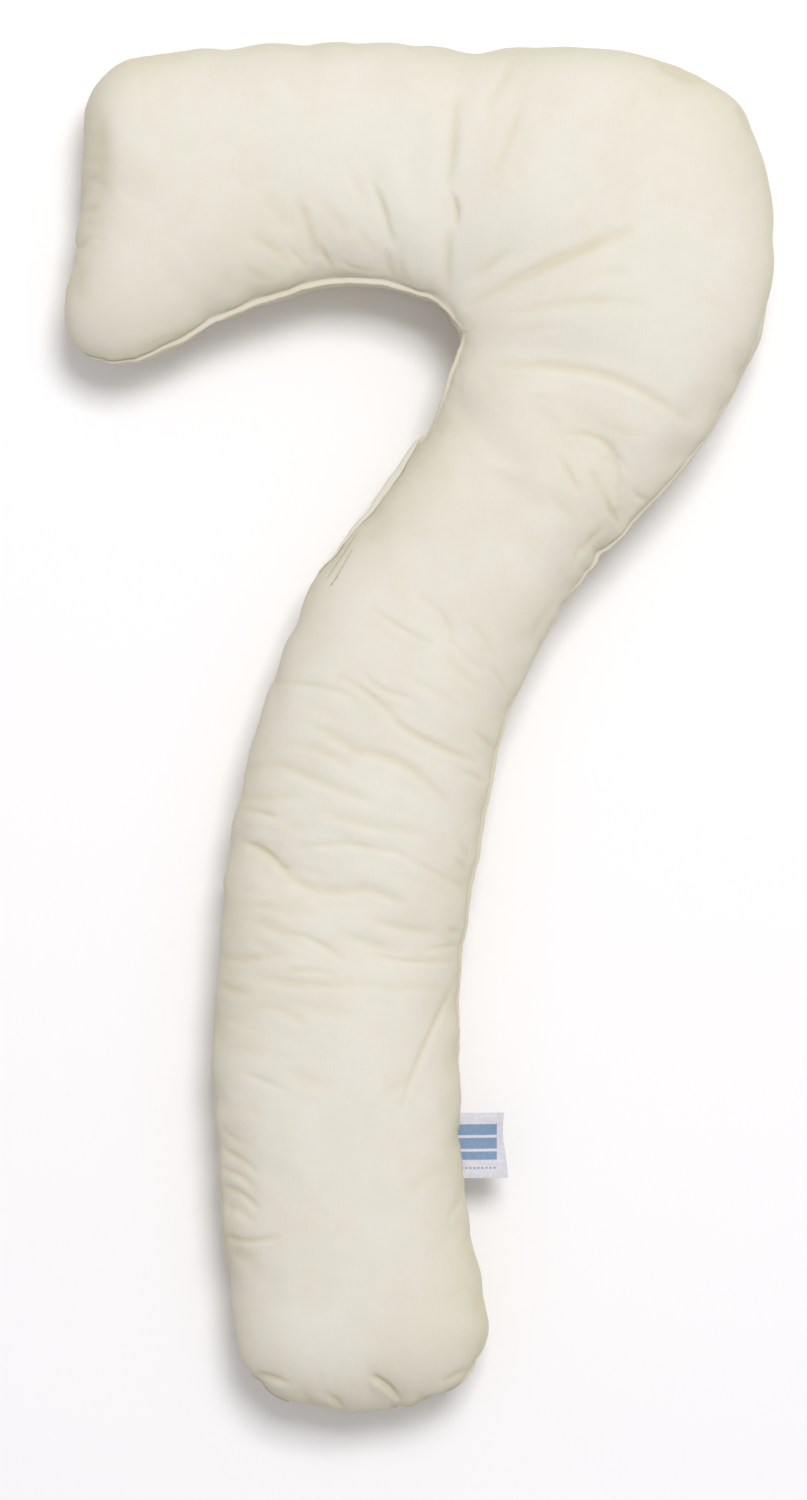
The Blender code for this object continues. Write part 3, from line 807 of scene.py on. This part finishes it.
def sewSeam(thing):
    points = readPoints(thing)
    index, out, height, distance = seamCurve.nearest(points)
    near = np.nonzero(distance < 5 * seam["wallFade"])[0]
    index, out, height, distance = index[near], out[near], height[near], distance[near]
    width, tip = edgeWidth[index], edgeTip[index]
    shown = smoothStep(*seam["shows"], width)
    offset = np.where(height >= 0, distance, -distance)
    edgeOut, edgeHigh = edgeProfile(width, tip, offset)
    top = seam["stripShare"] * width
    above = height >= 0
    wallOut = out + (tip - width) * np.exp(-np.maximum(offset - top, 0) / seam["wallFade"])
    drawnBack = out - seam["underPull"] * tip * np.exp(-(offset / seam["wallFoot"]) ** 2)
    wallOut = np.where(above, wallOut, drawnBack)
    wallShare = np.where(above, smoothStep(0, seam["wallStart"], offset - top),
                         smoothStep(seam["footStart"], seam["wallFoot"], -offset))
    newOut = wallOut + (1 - wallShare) * (edgeOut - wallOut)
    newHigh = height + (1 - wallShare) * (edgeHigh - height)
    shifted = out + shown * (newOut - out)
    raised = height + shown * (newHigh - height)
    valley = seam["valleyDepth"] * np.exp(-(distance / seam["valleyWidth"]) ** 2)
    shifted -= valley * (1 - shown)
    stitched = np.exp(-((offset - top) / seam["stitchWidth"]) ** 2)
    shifted -= seam["stitchDepth"] * shown * stitched
    puckers = seam["puckerDepth"] * seamPuckers[index]
    shifted += puckers * np.exp(-(distance / seam["puckerReach"]) ** 2)
    shifted -= tuckDepth(index) * np.exp(-(distance / seam["tuckReach"]) ** 2)
    moved = points[near].copy()
    moved[:, :2] += seamCurve.outward[index] * (shifted - out)[:, None]
    moved[:, 2] = np.maximum(moved[:, 2] + raised - height, 0.0)
    resting = points[near, 2] < 0.1 * mm
    points[near] = np.where(resting[:, None], points[near], moved)
    writePoints(thing, points)


index, out, height, distance = seamCurve.nearest(readPoints(pillow))
stitchOffset = np.where(height >= 0, distance, -distance)
sewSeam(pillow)
say("seam sewn")


def describeCloth(thing, index, height, stitchOffset, paintedCreaseShade):
    # layers that the material reads: painted shade in the creases, along the stitched line and on the
    # steep sides, and a flat weave
    # painted shade in the creases, from none to full
    writeAttribute(thing, "paintedCreaseShade", np.clip(paintedCreaseShade / creaseShape["fullTint"], 0, 1))
    width = edgeWidth[index]
    shown = smoothStep(*seam["shows"], width)
    top = np.where(shown > 0.5, seam["stripShare"] * width, 0.0)
    line = np.abs(stitchOffset - top)
    # painted shade: a darker line along the stitching, where the seam's crease lies
    writeAttribute(thing, "paintedSeamShade", np.exp(-(line / seam["lineWidth"]) ** 2))
    points = readPoints(thing)
    smooth = blur(readNormals(thing), readEdges(thing), cushion["shadeRounds"])
    # painted shade: the steeper the cloth, the more darker tan is painted on it
    writeAttribute(thing, "paintedSideShade", 1 - np.clip(smooth[:, 2], 0, 1))
    drop = np.where(height > 0, cushion["weaveHeight"] - points[:, 2], points[:, 2])
    flat = points[:, :2] + smooth[:, :2] * drop[:, None]
    corners = readRows(thing.data.loops, "vertex_index", 1, np.int64)[:, 0]
    thing.data.uv_layers.new(name="cloth").data.foreach_set("uv", flat[corners].astype(np.float32).ravel())


describeCloth(pillow, index, height, stitchOffset, paintedCreaseShade)
pick(pillow)
bpy.ops.object.shade_smooth()
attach(pillow, "root")
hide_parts("cushion")
say(f"cushion has {sum(len(face.vertices) - 2 for face in pillow.data.polygons)} triangles")


# Shared effects, as node groups

def newGroup(name, inputs, outputs):
    group = bpy.data.node_groups.new(name, "ShaderNodeTree")
    for label, kind, value in inputs:
        socket = group.interface.new_socket(label, in_out="INPUT", socket_type=kind)
        if value is not None:
            socket.default_value = value
    for label, kind in outputs:
        group.interface.new_socket(label, in_out="OUTPUT", socket_type=kind)
    return group, group.nodes.new("NodeGroupInput"), group.nodes.new("NodeGroupOutput")


def feed(tree, socket, value):
    # joins another node's output to the socket, or sets a plain value on it
    if isinstance(value, bpy.types.NodeSocket):
        tree.links.new(value, socket)
    else:
        socket.default_value = value


def addNode(tree, kind, settings=None, **links):
    # a node with its settings, and with its inputs set or joined by socket name
    node = tree.nodes.new(kind)
    for name, value in (settings or {}).items():
        setattr(node, name, value)
    for name, value in links.items():
        numbered = name[0] == "n" and name[1:].isdigit()
        feed(tree, node.inputs[int(name[1:]) if numbered else name], value)
    return node


def maths(tree, operation, first, second=0.0, third=0.0):
    node = addNode(tree, "ShaderNodeMath", {"operation": operation}, n0=first, n1=second, n2=third)
    return node.outputs[0]


def mixColours(tree, share, first, second, mode="MIX"):
    node = addNode(tree, "ShaderNodeMix", {"data_type": "RGBA", "blend_type": mode},
                   n0=share, n6=first, n7=second)
    return node.outputs[2]


def noiseAt(tree, place, scale, detail, roughness=0.5):
    return addNode(tree, "ShaderNodeTexNoise", Vector=place, Scale=scale, Detail=detail,
                   Roughness=roughness).outputs[0]


def readLayer(tree, name):
    return addNode(tree, "ShaderNodeAttribute", {"attribute_name": name}).outputs["Fac"]


def shadeColour(tree, colour, value, low, high):
    # a colour made a little darker where the value is low and lighter where it is high
    grain = addNode(tree, "ShaderNodeMapRange", n0=value, n1=0.3, n2=0.7, n3=low, n4=high).outputs[0]
    grey = addNode(tree, "ShaderNodeCombineXYZ", n0=grain, n1=grain, n2=grain).outputs[0]
    return mixColours(tree, 1.0, colour, grey, "MULTIPLY")


def makePlainWeave():
    # warp and weft passing over and under, with thicker threads here and there
    group, given, result = newGroup(
        "plainWeave",
        [("Place", "NodeSocketVector", None), ("Threads per metre", "NodeSocketFloat", 1700.0),
         ("Slub length", "NodeSocketFloat", 0.022), ("Slub width", "NodeSocketFloat", 0.0016)],
        [("Height", "NodeSocketFloat"), ("Slubs", "NodeSocketFloat")])
    place = given.outputs["Place"]
    threads = maths(group, "MULTIPLY", given.outputs["Threads per metre"], math.pi)
    parts = addNode(group, "ShaderNodeSeparateXYZ", n0=place)
    warp = maths(group, "SINE", maths(group, "MULTIPLY", parts.outputs[0], threads))
    weft = maths(group, "SINE", maths(group, "MULTIPLY", parts.outputs[1], threads))
    weave = maths(group, "MULTIPLY", warp, weft)
    longScale = maths(group, "DIVIDE", 1.0, given.outputs["Slub length"])
    shortScale = maths(group, "DIVIDE", 1.0, given.outputs["Slub width"])
    streaks = []
    for first, second in ((longScale, shortScale), (shortScale, longScale)):
        scale = addNode(group, "ShaderNodeCombineXYZ", n0=first, n1=second, n2=1.0)
        spread = addNode(group, "ShaderNodeVectorMath", {"operation": "MULTIPLY"},
                         n0=place, n1=scale.outputs[0])
        streak = addNode(group, "ShaderNodeTexNoise", {"noise_dimensions": "2D"},
                         Vector=spread.outputs[0], Scale=1.0, Detail=2.0, Roughness=0.55)
        streaks.append(streak.outputs[0])
    slubs = maths(group, "MULTIPLY", maths(group, "ADD", streaks[0], streaks[1]), 0.5)
    height = maths(group, "MULTIPLY_ADD", weave, 0.16, slubs)
    group.links.new(height, result.inputs["Height"])
    group.links.new(slubs, result.inputs["Slubs"])
    return group


plainWeave = makePlainWeave()


def newMaterial(name):
    material = bpy.data.materials.new(name)
    material.use_nodes = True
    return material, material.node_tree


def dress(material, sockets):
    # sets or joins the shader's own sockets
    shader = material.node_tree.nodes["Principled BSDF"]
    for name, value in sockets.items():
        feed(material.node_tree, shader.inputs[name], value)
    return material


cotton = {
    "lit": (0.735, 0.712, 0.628, 1),
    "tanToneAndShade": (0.650, 0.600, 0.445, 1),  # random tan mottling, and painted shade in the creases and on the steep sides
    "deep": (0.560, 0.505, 0.385, 1),  # painted shade in the seam's valley, along the stitching
    "deepShare": 0.5,
    "paintedCreaseShade": 0.65,  # how much painted shade darkens the creases towards tan
    "paintedSideShade": 1.00,  # and how much painted shade the steep sides get
    "clouds": [(5.0, 3.0, 0.6, 0.42, 1.1), (38.0, 2.0, 0.5, 0.5, 0.35)],
    "slubShade": (0.982, 1.014),
    "threads": 1700.0,  # in a metre
    "roughness": 0.92,
    "sheen": 0.12,
    "sheenRoughness": 0.5,
    "bump": 0.00016,
}
cloudColumns = ("scale", "detail", "roughness", "middle", "strength")


def makeCotton(name, follows):
    # follows: the piece carries the painted crease, seam-line and side shade layers and the weave layer
    # that describeCloth writes
    material, tree = newMaterial(name)
    place = addNode(tree, "ShaderNodeTexCoord").outputs["Object"]
    weave = addNode(tree, "ShaderNodeGroup", {"node_tree": plainWeave}, Place=place)
    feed(tree, weave.inputs["Threads per metre"], cotton["threads"])
    mottleAndShade = 0.0
    for cloud in named(cloudColumns, cotton["clouds"]):
        cloudy = noiseAt(tree, place, cloud["scale"], cloud["detail"], cloud["roughness"])
        cloudy = maths(tree, "SUBTRACT", cloudy, cloud["middle"])
        mottleAndShade = maths(tree, "MULTIPLY_ADD", cloudy, cloud["strength"], mottleAndShade)
    if follows:
        flat = addNode(tree, "ShaderNodeUVMap", {"uv_map": "cloth"}).outputs[0]
        feed(tree, weave.inputs["Place"], flat)
        # painted shade: creases and steep sides are painted darker and tanner
        for layer in ("paintedCreaseShade", "paintedSideShade"):
            mottleAndShade = maths(tree, "MULTIPLY_ADD", readLayer(tree, layer), cotton[layer], mottleAndShade)
    share = addNode(tree, "ShaderNodeClamp", n0=mottleAndShade).outputs[0]
    # the mix towards the tan colour is random mottling plus painted shade
    colour = mixColours(tree, share, cotton["lit"], cotton["tanToneAndShade"])
    if follows:
        # painted shade: a darker line along the seam's crease
        line = maths(tree, "MULTIPLY", readLayer(tree, "paintedSeamShade"), cotton["deepShare"])
        colour = mixColours(tree, line, colour, cotton["deep"])
    colour = shadeColour(tree, colour, weave.outputs["Slubs"], *cotton["slubShade"])
    bump = addNode(tree, "ShaderNodeBump", Height=weave.outputs["Height"],
                   Strength=1.0, Distance=cotton["bump"])
    return dress(material, {"Base Color": colour, "Normal": bump.outputs[0],
                            "Roughness": cotton["roughness"], "Sheen Weight": cotton["sheen"],
                            "Sheen Roughness": cotton["sheenRoughness"]})


pillow.data.materials.append(makeCotton("creamCotton", True))
say("cotton mixed")


# Closure flap: a strip of the case's own cloth over the filling slit

flap = {
    "topPixel": (430, 432),  # its two tips, on the pillow's edge in the photo
    "bottomPixel": (322, 594),
    "steps": 90,
    "columns": 8,
    "under": 0.006,  # it wraps this far under the turned edge
    "gap": 0.0004,
    "lift": 0.0009,  # its free edge stands off the case
    "thickness": 0.0009,
    "endShare": 0.10,  # towards its ends it sinks into the seam
    "endIn": 0.0016,
    "endUnder": 0.2,  # at its tips it wraps under by this share alone
    "widthShare": 0.86,  # of the turned edge that it covers
    "openShare": 0.12,
    "narrowFrom": 0.55,  # its lower part narrows
    "narrowing": 0.6,
    "turn": 1.6,  # how soon its lift turns from outward to upward
    "turnDelay": 0.2,
}


def makeFlap():
    # a grid, moved point by point on to the turned edge
    made, share, across = newGrid("closureFlap", flap["steps"], flap["columns"])
    first = seamCurve.indexAt(*flap["topPixel"])
    last = seamCurve.indexAt(*flap["bottomPixel"])
    place = first + share * (last - first)
    index = np.round(place).astype(int)
    part = place - index
    lens = np.sin(np.pi * share) ** 0.5
    width = np.interp(place, np.arange(seamCurve.count), edgeWidth)
    tip = np.interp(place, np.arange(seamCurve.count), edgeTip)
    low = -flap["under"] * (flap["endUnder"] + (1 - flap["endUnder"]) * lens)
    high = flap["widthShare"] * width * smoothStep(0, flap["openShare"], share)
    high *= 1 - flap["narrowing"] * smoothStep(flap["narrowFrom"], 1.0, share)
    offset = low + (high - low) * across
    out, raised = edgeProfile(width, tip, offset)
    ends = smoothStep(0, flap["endShare"], share) * (1 - smoothStep(1 - flap["endShare"], 1, share))
    out -= flap["endIn"] * (1 - ends)
    off = flap["gap"] + flap["lift"] * lens * across ** 3
    puckers = seam["puckerDepth"] * seamPuckers[index] * np.exp(-(offset / seam["puckerReach"]) ** 2)
    onward = seamCurve.points[(index + 1) % seamCurve.count] - seamCurve.points[index - 1]
    base = seamCurve.points[index] + onward / 2 * part[:, None]
    facing = np.clip(flap["turn"] * across - flap["turnDelay"], 0, 1)
    out += off * (1 - facing) + puckers + flap["gap"]
    raised += off * facing
    moved = np.column_stack([base[:, :2] + seamCurve.outward[index] * out[:, None],
                             base[:, 2] + raised])
    writePoints(made, moved)
    return made


closureFlap = makeFlap()


def faceAway(thing, centre):
    # turns a sheet so that its front looks away from this place
    points = readPoints(thing)
    if np.mean(np.sum(readNormals(thing) * (points - centre), axis=1)) < 0:
        thing.data.flip_normals()


# Loose ends of the stitching at the flap's lower tip: photo pixels, and a radius in millimetres

threadColumns = ("startX", "startY", "endX", "endY", "radius")
threads = [
    (359, 532, 327, 581, 0.45),
    (353.6, 550, 331, 589, 0.40),
    (339.5, 577, 331, 587, 0.40),
]
threadShape = {
    "height": 0.085,  # about where the threads lie
    "steps": 24,
    "sides": 6,
    "taper": 0.3,
    "lift": 1.3,  # of the middle over the case, in radii
    "twist": 900.0,
    # the thread is painted darker than the cotton, as painted shade of the grooves it lies in; its twist
    # stripes are its own
    "darkInShade": (0.36, 0.32, 0.21, 1),
    "paleInShade": (0.52, 0.47, 0.34, 1),
    "roughness": 0.8,
}


def makeThread(thread, case):
    # a fine tube that narrows to its ends, moved point by point on to the case
    made, share, across = newGrid("thread", threadShape["steps"], threadShape["sides"])
    turn = 2 * np.pi * (across - 0.5)
    runX, runY = thread["endX"] - thread["startX"], thread["endY"] - thread["startY"]
    x, y = overPhoto(thread["startX"] + share * runX, thread["startY"] + share * runY,
                     threadShape["height"])
    above = 2 * cadHigh[2]
    hits = [case.ray_cast(Vector((a, b, above)), Vector((0, 0, -1)))[0] for a, b in zip(x, y)]
    lowest = min((hit.z for hit in hits if hit), default=threadShape["height"])
    base = np.array([hit.z if hit else lowest for hit in hits])
    radius = thread["radius"] * mm * np.sin(np.pi * np.clip(share, 0, 1)) ** threadShape["taper"]
    side = radius * np.cos(turn) / math.hypot(runX, runY)
    writePoints(made, np.column_stack([x + runY * side, y + runX * side,
                                       base + radius * (threadShape["lift"] + np.sin(turn))]))
    return weld(made, bpy.ops.mesh.normals_make_consistent, inside=False)


def makeThreadCotton():
    material, tree = newMaterial("shadedThreadCotton")
    place = addNode(tree, "ShaderNodeTexCoord").outputs["Object"]
    twist = addNode(tree, "ShaderNodeTexWave", {"bands_direction": "DIAGONAL"}, Vector=place,
                    Scale=threadShape["twist"])
    # painted shade: both twist colours are darkened; the stripes themselves are the thread's own
    colour = mixColours(tree, twist.outputs[1], threadShape["darkInShade"], threadShape["paleInShade"])
    return dress(material, {"Base Color": colour, "Roughness": threadShape["roughness"]})


faceAway(closureFlap, np.array([0.05, 0.2, 0.06]))
modify(closureFlap, "SOLIDIFY", thickness=flap["thickness"], offset=1)
closureFlap.data.materials.append(makeCotton("flapCotton", False))
case = BVHTree.FromPolygons([tuple(point) for point in readPoints(pillow)],
                            [tuple(face.vertices) for face in pillow.data.polygons])
loose = [makeThread(thread, case) for thread in named(threadColumns, threads)]
shadedThreadCotton = makeThreadCotton()
for thread in loose:
    thread.data.materials.append(shadedThreadCotton)
pick(closureFlap)
for thread in loose:
    thread.select_set(True)
bpy.ops.object.join()
bpy.ops.object.shade_smooth_by_angle(angle=math.radians(50))
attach(closureFlap, "root")
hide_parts("closure_flap")
say("flap made")


# Side label: a folded woven ribbon held in the seam

label = {
    "ground": (0.66, 0.64, 0.70, 1),
    "blue": (0.19, 0.29, 0.44, 1),
    "width": 0.052,
    "blueStart": -0.020,  # the bands begin inside the seam
    "blueEnd": 0.040,  # and stop this far out from it
    "bands": ((0.0125, 0.0245), (0.0275, 0.0395), (0.0425, 0.0515)),  # from the label's top edge
    "fineLine": (0.0595, 0.0612),
    "dashStep": 0.0022,
    "dashStart": 0.0010,
    "softness": 0.0003,  # of the bands' edges
    "ribPitch": 0.0011,
    "ribsPerUnit": 3.2,  # of the wave texture at scale 1
    "ribWaver": 0.6,
    "mottle": 260.0,
    "mottleShade": (0.92, 1.06),
    "raised": 0.8,  # how far the blue threads stand up beside the ribs
    "bump": 0.0002,
    "bumpStrength": 0.6,
    "roughness": 0.55,
    "sheen": 0.1,
    "edge": 0.00035,
}
labelLow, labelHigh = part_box("side_label")


def makeLabel():
    made = copyNode("side_label", "sideLabel")
    modify(made, "BEVEL", width=label["edge"], segments=2, limit_method="ANGLE")
    bpy.ops.object.shade_smooth_by_angle(angle=math.radians(40))
    return made


def bandMask(tree, value, low, high):
    # 1 between low and high, and 0 outside
    soft = label["softness"]
    rise = addNode(tree, "ShaderNodeMapRange", n0=value, n1=low - soft, n2=low + soft, n3=0.0, n4=1.0)
    fall = addNode(tree, "ShaderNodeMapRange", n0=value, n1=high - soft, n2=high + soft, n3=1.0, n4=0.0)
    return maths(tree, "MULTIPLY", rise.outputs[0], fall.outputs[0])


def makeRibbon():
    material, tree = newMaterial("wovenRibbon")
    place = addNode(tree, "ShaderNodeTexCoord").outputs["Object"]
    parts = addNode(tree, "ShaderNodeSeparateXYZ", n0=place)
    out = maths(tree, "SUBTRACT", parts.outputs[0], labelHigh[0] - label["width"])
    down = maths(tree, "SUBTRACT", labelHigh[1], parts.outputs[1])
    dashes = maths(tree, "PINGPONG", out, label["dashStep"])
    dashes = maths(tree, "GREATER_THAN", dashes, label["dashStart"])
    blue = maths(tree, "MULTIPLY", bandMask(tree, down, *label["fineLine"]), dashes)
    for low, high in label["bands"]:
        blue = maths(tree, "ADD", blue, bandMask(tree, down, low, high))
    blue = maths(tree, "MULTIPLY", blue, bandMask(tree, out, label["blueStart"], label["blueEnd"]))
    ribs = addNode(tree, "ShaderNodeTexWave", {"bands_direction": "Y"}, Vector=place,
                   Scale=1 / label["ribPitch"] / label["ribsPerUnit"], Distortion=label["ribWaver"])
    colour = mixColours(tree, blue, label["ground"], label["blue"])
    mottle = noiseAt(tree, place, label["mottle"], 2.0)
    colour = shadeColour(tree, colour, mottle, *label["mottleShade"])
    height = maths(tree, "MULTIPLY_ADD", blue, label["raised"], ribs.outputs[1])
    bump = addNode(tree, "ShaderNodeBump", Height=height, Strength=label["bumpStrength"],
                   Distance=label["bump"])
    return dress(material, {"Base Color": colour, "Normal": bump.outputs[0],
                            "Roughness": label["roughness"], "Sheen Weight": label["sheen"]})


sideLabel = makeLabel()
sideLabel.data.materials.append(makeRibbon())
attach(sideLabel, "root")
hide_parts("side_label")
say("label made")


# Floor and light

studio = {
    "floorColour": (0.93, 0.92, 0.93, 1),
    "floorRoughness": 0.9,
    "floorSize": 12,
    "floorDrop": 0.0005,  # below the pillow, so that the two don't touch
    "skyColour": (1.0, 0.985, 0.995, 1),
    "horizonStrength": 0.36,
    "zenithStrength": 0.61,
    "keyPower": 428,
    "keySize": 2.8,
    "keyPlace": (1.2, 3.0, 7.6),
}


def makeStudio():
    deselectAll()
    bpy.ops.mesh.primitive_plane_add(size=studio["floorSize"], location=(0, 0, -studio["floorDrop"]))
    floor = bpy.context.active_object
    floor.name = "floor"
    paper = newMaterial("paper")[0]
    dress(paper, {"Base Color": studio["floorColour"], "Roughness": studio["floorRoughness"]})
    floor.data.materials.append(paper)
    world = bpy.data.worlds.new("studio")
    bpy.context.scene.world = world
    world.use_nodes = True
    sky = world.node_tree
    background = sky.nodes["Background"]
    background.inputs["Color"].default_value = studio["skyColour"]
    direction = addNode(sky, "ShaderNodeTexCoord")
    parts = addNode(sky, "ShaderNodeSeparateXYZ", n0=direction.outputs["Generated"])
    strength = addNode(sky, "ShaderNodeMapRange", n0=parts.outputs[2], n1=0.0, n2=1.0,
                       n3=studio["horizonStrength"], n4=studio["zenithStrength"])
    sky.links.new(strength.outputs[0], background.inputs["Strength"])
    lamp = bpy.data.lights.new("key", "AREA")
    lamp.shape = "SQUARE"
    lamp.size = studio["keySize"]
    lamp.energy = studio["keyPower"]
    key = bpy.data.objects.new("key", lamp)
    key.location = studio["keyPlace"]
    key.rotation_mode = "QUATERNION"
    key.rotation_quaternion = key.location.to_track_quat("Z", "Y")
    bpy.context.scene.collection.objects.link(key)


makeStudio()
bpy.context.scene.view_settings.view_transform = "Standard"

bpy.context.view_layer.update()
say("done")
